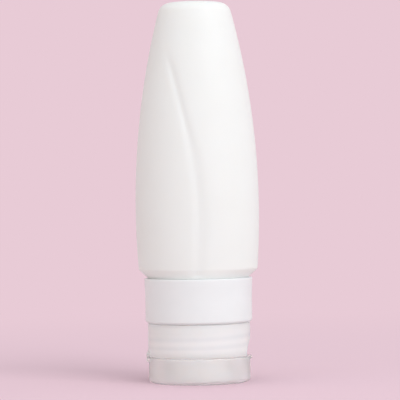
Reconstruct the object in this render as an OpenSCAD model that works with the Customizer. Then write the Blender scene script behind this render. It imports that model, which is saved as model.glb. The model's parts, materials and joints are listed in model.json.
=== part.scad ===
// Squeeze bottle for body lotion, standing on its flip lid, tail up.
// Origin at the centre of the lid's flat face, +Z along the bottle, +X toward the thumb lip.

/* [Body] */
// Widest width of the body, across X
body_w = 50; // [46:0.5:70]
// Deepest depth of the body, across Y
body_d = 45; // [44:0.5:70]
// Width of the body at its tail, before the edge is rounded
tail_w = 27.5; // [20:0.1:40]
// Depth of the body at its tail, before the edge is rounded
tail_d = 23.4; // [16:0.1:36]
// Length of the body from the ring to the tail
body_len = 112; // [80:0.2:160]
// Height of the widest place above the ring
belly_h = 27.8; // [15:0.2:45]
// Height of the sloping shoulder
shoulder_h = 3.6; // [2:0.1:8]
// Radius of the rounded edge at the tail
tail_r = 3.6; // [1:0.1:5]
// Height of the crown on the tail's end
tail_crown = 0.7; // [0.2:0.1:4]
// Thickness of the silicone wall
wall = 2.2; // [1.5:0.1:3]

/* [Crease] */
// Depth of the long curved crease
crease_depth = 0.5; // [0.2:0.05:1]
// Half width of the crease near the tail, on its crisp side
crease_w = 1.2; // [1:0.1:4]
// How many times wider its soft side is
crease_soft = 1.5; // [1:0.1:2.5]
// How many times wider it is near the ring than near the tail
crease_open = 1.6; // [1:0.1:2.5]
// Radius of the curve that the crease follows
crease_r = 155; // [150:1:400]
// How far the crease's curve bulges past the middle
crease_x = 1.1; // [-6:0.1:6]
// Height above the ring at which the crease runs straight up
crease_h = 21; // [10:0.5:50]
// Height above the ring at which the crease starts to bend back toward the tail
crease_back_h = 58; // [50:1:90]
// Radius of that bend back
crease_back_r = 135; // [60:1:200]

/* [Ring] */
// Height of the ring
ring_h = 17.9; // [12:0.1:28]
// Wall of the ring round the neck's flange
ring_wall = 2.9; // [1.6:0.1:4]
// How much wider the ring's radius is at the body than lower down
ring_flare = 0.3; // [0:0.05:1]
// Width of the bevel at the ring's lower edge
ring_bevel = 0.7; // [0.2:0.05:1.2]
// Thickness of the silicone sleeve inside the ring
sleeve_wall = 2.8; // [1.8:0.1:4]

/* [Neck] */
// Diameter over the neck's thread
thread_d = 36; // [30:0.1:42]
// Depth of the neck's thread
thread_depth = 1.35; // [0.8:0.05:1.6]
// Rise of the thread in one turn
pitch = 3.6; // [2.8:0.1:4.5]
// Wall of the threaded neck
neck_wall = 1.8; // [1.4:0.1:2.6]
// How much narrower the stem's bore is than the neck's, on the radius
stem_step = 1.35; // [0.6:0.05:2.5]
// Wall of the stem inside the silicone
stem_wall = 1.6; // [1.2:0.1:2.4]
// How far the stem ends below the ring's upper edge
stem_short = 0.9; // [0.3:0.1:4]
// Thickness of the neck's flange
flange_h = 2; // [1.5:0.1:3]
// Height of each barb on the stem
barb = 0.5; // [0.2:0.05:0.8]

/* [Screw cap] */
// Height of the cap
cap_h = 13.4; // [11:0.1:20]
// Wall of the cap's skirt
cap_wall = 2.3; // [1.5:0.05:3]
// Thickness of the cap's deck
deck = 1.6; // [1.2:0.1:2.4]
// Diameter of the valve housing where it meets the deck
housing_d = 23; // [20:0.5:26]
// Wall of the valve housing where it meets the deck
housing_wall = 1.9; // [1.8:0.1:2.6]
// Width of the ledge under the valve
seat_w = 3.1; // [1.5:0.1:4]
// Depth of the thumb recess
thumb_depth = 1.6; // [0.5:0.05:1.8]
// Height of the thumb recess
thumb_h = 6.9; // [4:0.1:8]

/* [Flip lid] */
// Height of the lid
lid_h = 10.4; // [8:0.1:13]
// How much smaller the lid's radius is than the cap's
lid_inset = 0.1; // [0:0.05:0.8]
// Wall of the lid
lid_wall = 1.3; // [0.9:0.1:1.8]
// Thickness of the lid's flat end
lid_top = 1.4; // [1:0.1:2.2]
// Radius of the lid's rounded outer edge
lid_edge = 1.6; // [0.6:0.1:2.5]
// Wall of the lid's inner ring
plug_wall = 1.1; // [0.8:0.1:1.6]
// How far the thumb lip stands out
lip_out = 0.9; // [0.2:0.05:1.2]
// Width of the thumb lip
lip_w = 13; // [8:0.5:20]
// Width of the hinge
hinge_w = 10; // [6:0.5:14]
// Thickness of the hinge film
film_t = 0.3; // [0.2:0.05:0.5]

/* [Seals] */
// Thickness of the gasket
gasket_t = 1.2; // [0.8:0.1:2]
// Thickness of the valve's flange
valve_flange = 1.3; // [0.8:0.1:1.8]
// Thickness of the valve's thin centre
valve_skin = 0.8; // [0.5:0.05:1]
// Length of each slit in the valve
slit_len = 6; // [3:0.5:8]
// Height of the valve's holding ring
retainer_h = 2.2; // [1.5:0.1:3]

/* [Hidden] */

// Clearances
part_gap = 0.2;       // between lid and cap, and between cap and ring
fit_gap = 0.1;        // round a piece that slips into its seat
thread_gap = 0.4;     // between a thread's crest and the wall that faces it
plug_gap = 0.4;       // between the lid's inner ring and the valve housing
swing_gap = 0.2;      // left by the valve housing when the lid swings past it

// Heights, counted from the face that the bottle stands on
cap_z = lid_h + part_gap;
deck_z = cap_z + deck;
rim_z = deck_z + gasket_t;
cap_top_z = cap_z + cap_h;
ring_z = cap_top_z + part_gap;
body_z = ring_z + ring_h;
tail_z = body_z + body_len;
edge_top_z = tail_z - tail_crown;
shoulder_z = body_z + shoulder_h;
housing_z = lid_top + 1.4;
seat_z = housing_z + 1.6;
flange_top_z = ring_z + flange_h;
bead_top_z = flange_top_z + 2;
stem_top_z = body_z - stem_short;
stem_h = stem_top_z - flange_top_z;
plug_top_z = lid_h - 1;

// Radii of neck, sleeve and ring, from the thread inward and out again
neck_crest_r = thread_d / 2;
neck_root_r = neck_crest_r - thread_depth;
neck_bore_r = neck_root_r - neck_wall;
stem_bore_r = neck_bore_r - stem_step;
stem_r = stem_bore_r + stem_wall;
ring_bore_r = stem_r + sleeve_wall;
bead_r = ring_bore_r + 0.7;
ring_low_r = bead_r + fit_gap + ring_wall;
ring_r = ring_low_r + ring_flare;
shoulder_r = ring_r - 1.5;

// Radii of cap and lid
cap_bore_r = neck_crest_r + thread_gap;
cap_crest_r = neck_root_r + thread_gap;
cap_r = cap_bore_r + cap_wall;
lid_r = cap_r - lid_inset;
lid_bore_r = lid_r - lid_wall;
rim_r = lid_bore_r - fit_gap;
housing_r = housing_d / 2;
housing_bore_r = housing_r - housing_wall;
outlet_r = housing_bore_r - seat_w;
plug_bore_r = housing_r + plug_gap;
plug_r = plug_bore_r + plug_wall;

// Hinge: its axis runs along Y just outside the film
film_x = -(cap_r + 0.3);
film_lap = 1.6;       // how far the film reaches over lid and cap
pad_gap = 0.25;       // from the hinge's gap to the pads that carry the film
pad_h = 2;
hinge_x = film_x - film_t - 0.05;
hinge_z = lid_h + part_gap / 2;
housing_end_r = sqrt(pow(plug_bore_r - hinge_x, 2) - pow(hinge_z - housing_z, 2))
    + hinge_x - swing_gap;

// Threads
tooth_base = 1.9;     // width of a thread at its root
tooth_tip = 0.8;      // width of a thread at its crest
tooth_sink = 0.4;     // how far a thread reaches into its wall
taper_turn = 0.12;    // part of a turn in which a thread fades out
neck_thread_z = rim_z + 1;
thread_turns = (cap_top_z - 1.4 - tooth_base / 2 - neck_thread_z) / pitch - 0.5;
thread_start = 240;   // direction at which both threads begin
cap_thread_z = neck_thread_z + pitch / 2;
thread_step = 12;     // degrees between two sections of a thread

// Body mesh
around = 80;          // points round one ring of the body
side_spread = 16;     // degrees by which the points crowd to front and back
rows = 34;            // rings between shoulder and tail
shoulder_rows = 4;    // rings on the sloping shoulder
tail_rows = 5;        // rings round the tail's edge

$fn = 96;

// Radius of the arc that falls from the widest place to the tail
function side_arc(widest, tail) =
    let (drop = (widest - tail) / 2, rise = edge_top_z - body_z - belly_h)
    (rise * rise + drop * drop) / (2 * drop);

// Half width at height z on a side that follows such an arc
function arc_half(widest, tail, z) =
    let (r = side_arc(widest, tail))
    widest / 2 - r + sqrt(r * r - pow(z - body_z - belly_h, 2));
function half_x(z) = arc_half(body_w, tail_w, z);
function half_y(z) = arc_half(body_d, tail_d, z);

// Half width of the round edge at the tail, taken off the side
function tail_cut(z, end_z, r) =
    z < end_z - r ? 0 : r - sqrt(max(0, r * r - pow(z - (end_z - r), 2)));

// Direction of point i, closer together at front and back
function turn_of(i) = let (a = 360 * i / around) a + side_spread * sin(2 * a);

// Where the crease's middle lies across X at height z
function crease_mid(z) =
    let (past = max(0, z - body_z - crease_back_h))
    crease_x - crease_r + sqrt(pow(crease_r, 2) - pow(z - body_z - crease_h, 2))
    + past * past / (2 * crease_back_r);

// Smooth step from 0 at from to 1 at to
function fade(v, from, to) =
    let (t = min(1, max(0, (v - from) / (to - from)))) t * t * (3 - 2 * t);

// Depth of the crease at width x and height z
function crease_at(x, z) =
    let (off = x - crease_mid(z), narrow_z = body_z + crease_back_h,
         open = crease_open + (1 - crease_open) * fade(z, narrow_z - 12, narrow_z + 6),
         u = off / (crease_w * open * (off > 0 ? crease_soft : 1)))
    crease_depth * exp(-u * u) * fade(z, body_z, body_z + shoulder_h / 2)
    * (1 - fade(z, tail_z - 31, tail_z - 19));

// One ring of the body's outer face at height z
function outer_ring(hx, hy, z, creased) =
    [for (i = [0 : around - 1])
        let (a = turn_of(i), x = hx * cos(a), y = hy * sin(a),
             front = y < 0 ? 1 : -1,
             dip = creased ? crease_at(front * x, z) * abs(sin(a)) : 0)
        [x - dip * cos(a), y - dip * sin(a), z]];

// Skin through rings of equal length, with a closed end at both ends
function skin_faces(rings, n) = concat(
    [[for (i = [0 : n - 1]) i]],
    [for (k = [0 : rings - 2]) for (i = [0 : n - 1])
        let (j = (i + 1) % n)
        each [[k * n + i, (k + 1) * n + i, (k + 1) * n + j],
              [k * n + i, (k + 1) * n + j, k * n + j]]],
    [[for (i = [0 : n - 1]) rings * n - 1 - i]]);

module skin(rings) {
    n = len(rings[0]);
    polyhedron(points = [for (r = rings) each r], faces = skin_faces(len(rings), n));
}

// The body's outer solid: shoulder, sides, rounded edge and crown
module body_outer() {
    side_top = edge_top_z - tail_r;
    slope_t = [for (k = [0 : shoulder_rows - 1]) k / shoulder_rows];
    side_z = [for (k = [0 : rows]) shoulder_z + (side_top - shoulder_z) * k / rows];
    edge_z = [for (k = [1 : tail_rows]) side_top + tail_r * sin(90 * k / tail_rows)];
    crown_t = [for (k = [1 : 4]) k / 4.4];
    wide_x = half_x(shoulder_z) - shoulder_r;
    wide_y = half_y(shoulder_z) - shoulder_r;
    end_x = half_x(edge_top_z) - tail_r;
    end_y = half_y(edge_top_z) - tail_r;
    skin(concat(
        [for (t = slope_t)
            let (out = 1 - pow(1 - t, 1.15))
            outer_ring(shoulder_r + wide_x * out, shoulder_r + wide_y * out, body_z + shoulder_h * t, true)],
        [for (z = side_z) outer_ring(half_x(z), half_y(z), z, true)],
        [for (z = edge_z)
            let (cut = tail_cut(z, edge_top_z, tail_r))
            outer_ring(half_x(z) - cut, half_y(z) - cut, z, false)],
        [for (t = crown_t)
            outer_ring(end_x * (1 - t), end_y * (1 - t), edge_top_z + tail_crown * t * (2 - t), false)]));
}

// The hollow inside the body, one wall in from the outer face
module body_inner() {
    in_rows = 14;
    in_tail = 3;
    in_n = 40;
    in_r = tail_r + 1;
    in_top = edge_top_z - wall;
    in_side = in_top - in_r;
    low_z = shoulder_z + wall;
    side_z = [for (k = [0 : in_rows]) low_z + (in_side - low_z) * k / in_rows];
    edge_z = [for (k = [1 : in_tail]) in_side + in_r * sin(90 * k / in_tail)];
    skin(concat(
        [for (z = [body_z - 1, body_z + wall]) oval(stem_r + 1, stem_r + 1, z, in_n)],
        [for (z = concat(side_z, edge_z))
            let (cut = wall + tail_cut(z, in_top, in_r))
            oval(half_x(z) - cut, half_y(z) - cut, z, in_n)]));
}

function oval(hx, hy, z, n) =
    [for (i = [0 : n - 1]) let (a = 360 * i / n) [hx * cos(a), hy * sin(a), z]];

// Outline of the stem's outer face with its two barbs, from the flange up
function stem_outline() = [
    [stem_r, flange_top_z],
    [stem_r, flange_top_z + stem_h * 0.4],
    [stem_r + barb, flange_top_z + stem_h * 0.4],
    [stem_r, flange_top_z + stem_h * 0.6],
    [stem_r, flange_top_z + stem_h * 0.75],
    [stem_r + barb, flange_top_z + stem_h * 0.75],
    [stem_r - 0.4, stem_top_z]];

module ring_of(points) { rotate_extrude() polygon(points); }

// Soft silicone body with the sleeve that grips the neck
module bottle() {
    color("white") union() {
        difference() {
            body_outer();
            body_inner();
        }
        ring_of(concat(
            stem_outline(),
            [[stem_r - 0.4, body_z + wall - 0.4],
             [ring_bore_r, body_z + wall - 0.4],
             [ring_bore_r, bead_top_z],
             [bead_r, bead_top_z],
             [bead_r, flange_top_z]]));
    }
}

// Ring that clamps the sleeve onto the stem
module collar_ring() {
    color("whitesmoke") ring_of([
        [bead_r + fit_gap, ring_z],
        [ring_low_r - ring_bevel, ring_z],
        [ring_low_r, ring_z + ring_bevel],
        [ring_low_r, ring_z + ring_h * 0.55],
        [ring_low_r + ring_flare / 2, ring_z + ring_h * 0.8],
        [ring_r, body_z - 0.4],
        [ring_r - 0.4, body_z],
        [ring_bore_r, body_z],
        [ring_bore_r, bead_top_z],
        [bead_r + fit_gap, bead_top_z]]);
}

// One ridge of thread along a helix; out is 1 on a shaft and -1 in a bore
module thread_ridge(root_r, depth, out, z0) {
    sweep = thread_turns * 360;
    steps = ceil(sweep / thread_step);
    ends = taper_turn * 360;
    sections = [for (k = [0 : steps])
        let (a = sweep * k / steps,
             grow = min(1, min(a, sweep - a) / ends + 0.08),
             tip_r = root_r + out * depth * grow,
             in_r = root_r - out * tooth_sink,
             z = z0 + pitch * a / 360,
             dir = a + thread_start)
        [for (p = [[in_r, -tooth_base / 2], [tip_r, -tooth_tip / 2],
                   [tip_r, tooth_tip / 2], [in_r, tooth_base / 2]])
            [p[0] * cos(dir), p[0] * sin(dir), z + p[1]]]];
    faces = skin_faces(len(sections), 4);
    polyhedron(points = [for (s = sections) each s],
               faces = out > 0 ? [for (f = faces) [for (i = [len(f) - 1 : -1 : 0]) f[i]]] : faces);
}

// Threaded neck with its flange and barbed stem
module neck_insert() {
    color("white") union() {
        ring_of(concat(
            [[neck_bore_r, rim_z], [neck_root_r - 0.4, rim_z], [neck_root_r, rim_z + 0.4],
             [neck_root_r, ring_z], [bead_r, ring_z], [bead_r, flange_top_z]],
            stem_outline(),
            [[stem_bore_r, stem_top_z], [stem_bore_r, flange_top_z], [neck_bore_r, ring_z]]));
        thread_ridge(neck_root_r, thread_depth, 1, neck_thread_z);
    }
}

// Soft ring between the neck's rim and the deck
module gasket() {
    color("gainsboro") ring_of([
        [neck_bore_r - 0.6, deck_z], [neck_root_r + 0.3, deck_z],
        [neck_root_r + 0.3, rim_z], [neck_bore_r - 0.6, rim_z]]);
}

// Screw cap: skirt with thread, deck, valve housing and the low rim that the lid snaps over
module screw_cap() {
    thumb_r = (pow(thumb_h, 2) + pow(thumb_depth, 2)) / (2 * thumb_depth);
    color([0.93, 0.92, 0.93, 0.8]) union() {
        difference() {
            union() {
                ring_of([
                    [outlet_r, housing_z], [housing_end_r - 0.4, housing_z],
                    [housing_end_r, housing_z + 0.4], [housing_r, cap_z],
                    [rim_r - 1.4, cap_z], [rim_r - 1.4, cap_z - 1.3],
                    [rim_r - 0.3, cap_z - 1.3], [rim_r, cap_z - 0.9], [rim_r, cap_z],
                    [cap_r - 0.3, cap_z], [cap_r, cap_z + 0.3],
                    [cap_r, cap_top_z - 0.3], [cap_r - 0.3, cap_top_z],
                    [cap_bore_r, cap_top_z], [cap_bore_r, deck_z + 1], [cap_bore_r - 1, deck_z],
                    [housing_bore_r, deck_z], [housing_bore_r, seat_z], [outlet_r, seat_z]]);
                hinge_pad(hinge_z + part_gap / 2 + pad_gap, cap_r);
            }
            translate([cap_r + thumb_r - thumb_depth, 0, cap_z])
                rotate([90, 0, 0]) cylinder(h = 2 * cap_r, r = thumb_r, center = true);
        }
        thread_ridge(cap_bore_r, cap_bore_r - cap_crest_r, -1, cap_thread_z);
    }
}

// Pad on a wall of radius r, up from z, that carries one end of the hinge film
module hinge_pad(z, r) {
    root_x = sqrt(r * r - pow(hinge_w / 2, 2)) - 0.4;
    translate([film_x, -hinge_w / 2, z]) cube([-root_x - film_x, hinge_w, pad_h]);
}

// Silicone valve: flange, wall and thin centre with a cross slit
module valve() {
    flange_r = housing_bore_r - fit_gap;
    cup_r = outlet_r - 0.3;
    skin_z = housing_z + 0.5;
    color([0.95, 0.95, 0.96, 0.9]) difference() {
        ring_of([
            [0, skin_z], [cup_r - 1, skin_z], [cup_r, skin_z + 1], [cup_r, seat_z],
            [flange_r, seat_z], [flange_r, seat_z + valve_flange],
            [cup_r - 0.8, seat_z + valve_flange], [cup_r - 1.2, skin_z + valve_skin + 0.6],
            [cup_r - 1.8, skin_z + valve_skin], [0, skin_z + valve_skin]]);
        for (a = [0, 90])
            rotate([0, 0, a]) translate([-slit_len / 2, -0.06, skin_z - 1])
                cube([slit_len, 0.12, valve_skin + 2]);
    }
}

// Ring that holds the valve in its housing
module valve_retainer() {
    z0 = seat_z + valve_flange;
    color("white") ring_of([
        [outlet_r + 0.4, z0], [housing_bore_r, z0], [housing_bore_r, z0 + retainer_h - 0.3],
        [housing_bore_r - 0.3, z0 + retainer_h], [outlet_r + 0.4, z0 + retainer_h]]);
}

// Flip lid: flat end, wall, inner ring, centre boss, thumb lip and gussets
module flip_lid() {
    boss_r = outlet_r - 2;
    edge = [for (a = [0 : 15 : 90])
        [lid_r - lid_edge + lid_edge * sin(a), lid_edge - lid_edge * cos(a)]];
    color([0.95, 0.93, 0.94, 0.6]) union() {
        ring_of(concat([[0, 0]], edge, [
            [lid_r, lid_h - 0.2], [lid_r - 0.2, lid_h], [lid_bore_r, lid_h], [lid_bore_r, lid_top],
            [plug_r, lid_top], [plug_r, plug_top_z], [plug_bore_r + 0.3, plug_top_z],
            [plug_bore_r, plug_top_z - 0.6], [plug_bore_r, lid_top],
            [boss_r, lid_top], [boss_r, housing_z + 0.4], [0, housing_z + 0.4]]));
        thumb_lip();
        hinge_pad(hinge_z - part_gap / 2 - pad_gap - pad_h, lid_r);
        for (side = [-1, 1])
            translate([0, side * hinge_w / 2, 0]) gusset();
    }
}

// Lip for the thumb, a short arc that stands out of the lid's wall
module thumb_lip() {
    out_r = lid_r + lip_out;
    root_r = lid_r - lid_wall / 2;
    intersection() {
        ring_of([[root_r, lid_h - 1.3], [lid_r, lid_h - 1.3], [out_r, lid_h - 0.9],
                 [out_r, lid_h], [root_r, lid_h]]);
        translate([0, -lip_w / 2, 0]) cube([out_r, lip_w, lid_h]);
    }
}

// Small triangular rib inside the lid beside the hinge
module gusset() {
    rib_t = 0.8;
    root_r = lid_bore_r + lid_wall / 3;
    translate([-sqrt(pow(root_r, 2) - pow(hinge_w / 2 + rib_t, 2)), rib_t / 2, 0])
        rotate([90, 0, 0])
            linear_extrude(rib_t)
                polygon([[0, lid_top - 0.4], [3, lid_top - 0.4], [0, lid_h - 2]]);
}

// Thin film that joins lid and cap
module hinge_film() {
    color([0.93, 0.92, 0.93, 0.8])
        translate([film_x - film_t, -hinge_w / 2, lid_h - film_lap])
            cube([film_t, hinge_w, part_gap + 2 * film_lap]);
}

bottle();
collar_ring();
neck_insert();
gasket();
screw_cap();
valve();
valve_retainer();
flip_lid();
hinge_film();
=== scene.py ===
# Body lotion bottle standing on its flip lid, tail up, with the lid's lip toward +X
import bpy
import bmesh
import json
import math
from mathutils import Matrix, Vector

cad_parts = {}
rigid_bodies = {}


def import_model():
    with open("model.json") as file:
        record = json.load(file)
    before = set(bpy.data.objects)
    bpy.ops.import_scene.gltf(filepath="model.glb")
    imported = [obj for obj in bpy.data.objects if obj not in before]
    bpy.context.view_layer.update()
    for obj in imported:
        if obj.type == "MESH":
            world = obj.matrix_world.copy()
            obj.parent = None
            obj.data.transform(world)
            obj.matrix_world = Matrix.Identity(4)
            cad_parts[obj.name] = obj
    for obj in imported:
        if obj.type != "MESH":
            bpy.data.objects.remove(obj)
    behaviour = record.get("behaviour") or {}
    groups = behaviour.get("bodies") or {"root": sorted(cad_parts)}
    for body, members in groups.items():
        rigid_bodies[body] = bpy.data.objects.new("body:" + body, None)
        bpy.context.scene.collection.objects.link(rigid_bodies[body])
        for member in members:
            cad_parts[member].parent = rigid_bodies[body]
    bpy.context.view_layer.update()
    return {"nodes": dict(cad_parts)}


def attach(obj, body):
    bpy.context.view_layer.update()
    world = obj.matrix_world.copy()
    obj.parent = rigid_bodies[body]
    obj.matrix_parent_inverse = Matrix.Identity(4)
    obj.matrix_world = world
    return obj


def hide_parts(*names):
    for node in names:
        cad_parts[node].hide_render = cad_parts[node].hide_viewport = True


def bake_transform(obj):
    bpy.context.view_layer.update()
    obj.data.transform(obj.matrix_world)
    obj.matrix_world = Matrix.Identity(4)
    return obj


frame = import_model()
mm = 0.001
print("frame loaded:", ", ".join(sorted(frame["nodes"])))


def linear(hexColour):
    parts = [int(hexColour[i:i + 2], 16) / 255 for i in (1, 3, 5)]
    return [p / 12.92 if p <= 0.04045 else ((p + 0.055) / 1.055) ** 2.4 for p in parts] + [1]


def addNode(tree, kind, settings=(), inputs=()):
    node = tree.nodes.new(kind)
    for key, value in dict(settings).items():
        setattr(node, key, value)
    for key, value in dict(inputs).items():
        if isinstance(value, bpy.types.NodeSocket):
            tree.links.new(value, node.inputs[key])
        else:
            node.inputs[key].default_value = value
    return node


def newMaterial(name):
    material = bpy.data.materials.new(name)
    material.use_nodes = True
    material.node_tree.nodes.clear()
    return material, material.node_tree


# Silicone rubber, moulded and dusted: satin, softly lit from inside, with a fine grain and
# the thin line that the two halves of the mould leave down both sides
def siliconeMaterial():
    look = {
        "white": "#F4F6F5",
        "shade": "#F0F1EF",
        "glow": 0.45,            # share of the light that scatters under the skin
        "glowDepth": 2.5 * mm,
        "roughness": 0.46,
        "grain": 0.9 * mm,       # real grain is near 0.05 mm, drawn coarser so that it shows
        "cloud": 22 * mm,
        "seam": 0.18 * mm,
    }
    material, tree = newMaterial("whiteSiliconeMoulded")
    place = addNode(tree, "ShaderNodeTexCoord").outputs["Object"]
    cloud = addNode(tree, "ShaderNodeTexNoise", {}, {
        "Vector": place, "Scale": 1 / look["cloud"], "Detail": 3, "Roughness": 0.55})
    colour = addNode(tree, "ShaderNodeMix", {"data_type": "RGBA"}, {
        0: cloud.outputs["Fac"], 6: linear(look["white"]), 7: linear(look["shade"])})
    satin = addNode(tree, "ShaderNodeMapRange", {"clamp": False}, {
        "Value": cloud.outputs["Fac"], "From Min": 0.2, "From Max": 0.8,
        "To Min": look["roughness"] - 0.04, "To Max": look["roughness"] + 0.05})
    grain = addNode(tree, "ShaderNodeTexNoise", {}, {
        "Vector": place, "Scale": 1 / look["grain"], "Detail": 4, "Roughness": 0.6})
    parts = addNode(tree, "ShaderNodeSeparateXYZ", {}, {0: place})
    offLine = addNode(tree, "ShaderNodeMath", {"operation": "ABSOLUTE"}, {0: parts.outputs["Y"]})
    seam = addNode(tree, "ShaderNodeMapRange", {"interpolation_type": "SMOOTHSTEP"}, {
        "Value": offLine.outputs[0], "From Min": 0, "From Max": look["seam"],
        "To Min": 1, "To Max": 0})
    fine = addNode(tree, "ShaderNodeBump", {}, {
        "Height": grain.outputs["Fac"], "Strength": 0.35, "Distance": 0.03 * mm})
    line = addNode(tree, "ShaderNodeBump", {}, {
        "Height": seam.outputs["Result"], "Strength": 0.6, "Distance": 0.06 * mm,
        "Normal": fine.outputs["Normal"]})
    skin = addNode(tree, "ShaderNodeBsdfPrincipled", {}, {
        "Base Color": colour.outputs[2], "Roughness": satin.outputs["Result"], "IOR": 1.41,
        "Subsurface Weight": look["glow"], "Subsurface Radius": (1.0, 0.95, 0.9),
        "Subsurface Scale": look["glowDepth"], "Specular IOR Level": 0.4,
        "Sheen Weight": 0.06, "Sheen Roughness": 0.5, "Normal": line.outputs["Normal"]})
    addNode(tree, "ShaderNodeOutputMaterial", {}, {"Surface": skin.outputs["BSDF"]})
    return material


# Polypropylene, white masterbatch, injection moulded: semi-gloss with a faint wave in the highlight
def ringMaterial():
    look = {"white": "#F1F3F5", "shade": "#ECEEF0", "roughness": 0.36, "wave": 9 * mm, "grain": 0.35 * mm}
    material, tree = newMaterial("whitePolypropyleneMoulded")
    place = addNode(tree, "ShaderNodeTexCoord").outputs["Object"]
    cloud = addNode(tree, "ShaderNodeTexNoise", {}, {
        "Vector": place, "Scale": 1 / look["wave"], "Detail": 2})
    colour = addNode(tree, "ShaderNodeMix", {"data_type": "RGBA"}, {
        0: cloud.outputs["Fac"], 6: linear(look["white"]), 7: linear(look["shade"])})
    gloss = addNode(tree, "ShaderNodeMapRange", {"clamp": False}, {
        "Value": cloud.outputs["Fac"], "From Min": 0.2, "From Max": 0.8,
        "To Min": look["roughness"] - 0.03, "To Max": look["roughness"] + 0.05})
    grain = addNode(tree, "ShaderNodeTexNoise", {}, {
        "Vector": place, "Scale": 1 / look["grain"], "Detail": 2})
    wave = addNode(tree, "ShaderNodeBump", {}, {
        "Height": cloud.outputs["Fac"], "Strength": 0.25, "Distance": 0.08 * mm})
    fine = addNode(tree, "ShaderNodeBump", {}, {
        "Height": grain.outputs["Fac"], "Strength": 0.15, "Distance": 0.01 * mm,
        "Normal": wave.outputs["Normal"]})
    skin = addNode(tree, "ShaderNodeBsdfPrincipled", {}, {
        "Base Color": colour.outputs[2], "Roughness": gloss.outputs["Result"], "IOR": 1.49,
        "Subsurface Weight": 0.12, "Subsurface Radius": (1.0, 0.85, 0.8),
        "Subsurface Scale": 1 * mm, "Normal": fine.outputs["Normal"]})
    addNode(tree, "ShaderNodeOutputMaterial", {}, {"Surface": skin.outputs["BSDF"]})
    return material


# The thread that neck and cap share, in mm, turns and degrees
threadSizes = {"pitch": 3.6, "turns": 1.51, "start": 240, "depth": 1.35, "sink": 0.4,
               "rootWidth": 1.9, "crestWidth": 0.8, "taper": 0.12,
               "neckHeight": 14.4, "capHeight": 16.2}


# Painted shade: a faint darker stripe drawn into the skirt's colour where the neck's thread lies behind it
# at rest, in place of the thread's shade seen through the milky wall; it is colour only, so it stays on the
# cap when the cap is unscrewed
def paintedThreadShade(tree, place, colour, paintedShade):
    parts = addNode(tree, "ShaderNodeSeparateXYZ", {}, {0: place})
    terms = {"x": parts.outputs["X"], "y": parts.outputs["Y"], "z": parts.outputs["Z"]}
    foot = threadSizes["neckHeight"] * mm
    rise = threadSizes["pitch"] * mm
    top = foot + rise * threadSizes["turns"]
    sums = [
        ("angle", "ARCTAN2", "y", "x"),
        ("turned", "DIVIDE", "angle", 2 * math.pi),
        ("above", "SUBTRACT", "z", foot),
        ("climbed", "DIVIDE", "above", rise),
        ("phase", "SUBTRACT", "climbed", "turned"),
        ("shifted", "ADD", "phase", threadSizes["start"] / 360 + 0.5),
        ("share", "FRACT", "shifted"),
        ("centred", "SUBTRACT", "share", 0.5),
        ("away", "ABSOLUTE", "centred"),
    ]
    for name, operation, *values in sums:
        terms[name] = addNode(tree, "ShaderNodeMath", {"operation": operation}, {
            i: terms[v] if isinstance(v, str) else v for i, v in enumerate(values)}).outputs[0]
    strength = 1
    for value, low, high in ((terms["away"], paintedShade["wide"], paintedShade["narrow"]),
                             (terms["z"], foot - paintedShade["fade"], foot), (terms["z"], top + paintedShade["fade"], top)):
        part = addNode(tree, "ShaderNodeMapRange", {"interpolation_type": "SMOOTHSTEP"}, {
            "Value": value, "From Min": low, "From Max": high}).outputs["Result"]
        strength = addNode(tree, "ShaderNodeMath", {"operation": "MULTIPLY"}, {
            0: strength, 1: part}).outputs[0]
    return addNode(tree, "ShaderNodeMix", {"data_type": "RGBA"}, {
        0: strength, 6: colour, 7: linear(paintedShade["colour"])}).outputs[2]


# Polypropylene without colour, injection moulded: milky, light passes but blurs
def frostedMaterial(name, look):
    material, tree = newMaterial(name)
    place = addNode(tree, "ShaderNodeTexCoord").outputs["Object"]
    cloud = addNode(tree, "ShaderNodeTexNoise", {}, {
        "Vector": place, "Scale": 1 / look["cloud"], "Detail": 3})
    grain = addNode(tree, "ShaderNodeTexNoise", {}, {
        "Vector": place, "Scale": 1 / look["grain"], "Detail": 3})
    colour = addNode(tree, "ShaderNodeMix", {"data_type": "RGBA"}, {
        0: cloud.outputs["Fac"], 6: linear(look["pale"]), 7: linear(look["shade"])}).outputs[2]
    # painted shade of the neck's thread behind the skirt, mixed into the colour
    if "paintedShade" in look:
        colour = paintedThreadShade(tree, place, colour, look["paintedShade"])
    rough = addNode(tree, "ShaderNodeMapRange", {"clamp": False}, {
        "Value": cloud.outputs["Fac"], "From Min": 0.2, "From Max": 0.8,
        "To Min": look["roughness"] * 0.85, "To Max": look["roughness"] * 1.15})
    fine = addNode(tree, "ShaderNodeBump", {}, {
        "Height": grain.outputs["Fac"], "Strength": look["relief"], "Distance": 0.02 * mm})
    skin = addNode(tree, "ShaderNodeBsdfPrincipled", {}, {
        "Base Color": colour, "Roughness": rough.outputs["Result"], "IOR": 1.49,
        "Subsurface Weight": look["milk"], "Subsurface Radius": (1.0, 0.92, 0.88),
        "Subsurface Scale": look["milkDepth"], "Transmission Weight": look["clear"],
        "Normal": fine.outputs["Normal"]})
    lit = skin.outputs["BSDF"]
    if look["lampThrough"] > 0:                  # share of the room's light that reaches what is inside
        ray = addNode(tree, "ShaderNodeLightPath")
        inward = addNode(tree, "ShaderNodeMath", {"operation": "MAXIMUM"}, {
            0: ray.outputs["Is Shadow Ray"], 1: ray.outputs["Is Diffuse Ray"]})
        share = addNode(tree, "ShaderNodeMath", {"operation": "MULTIPLY"}, {
            0: inward.outputs[0], 1: look["lampThrough"]})
        opening = addNode(tree, "ShaderNodeBsdfTransparent")
        lit = addNode(tree, "ShaderNodeMixShader", {}, {
            0: share.outputs[0], 1: lit, 2: opening.outputs[0]}).outputs[0]
    addNode(tree, "ShaderNodeOutputMaterial", {}, {"Surface": lit})
    return material


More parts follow.
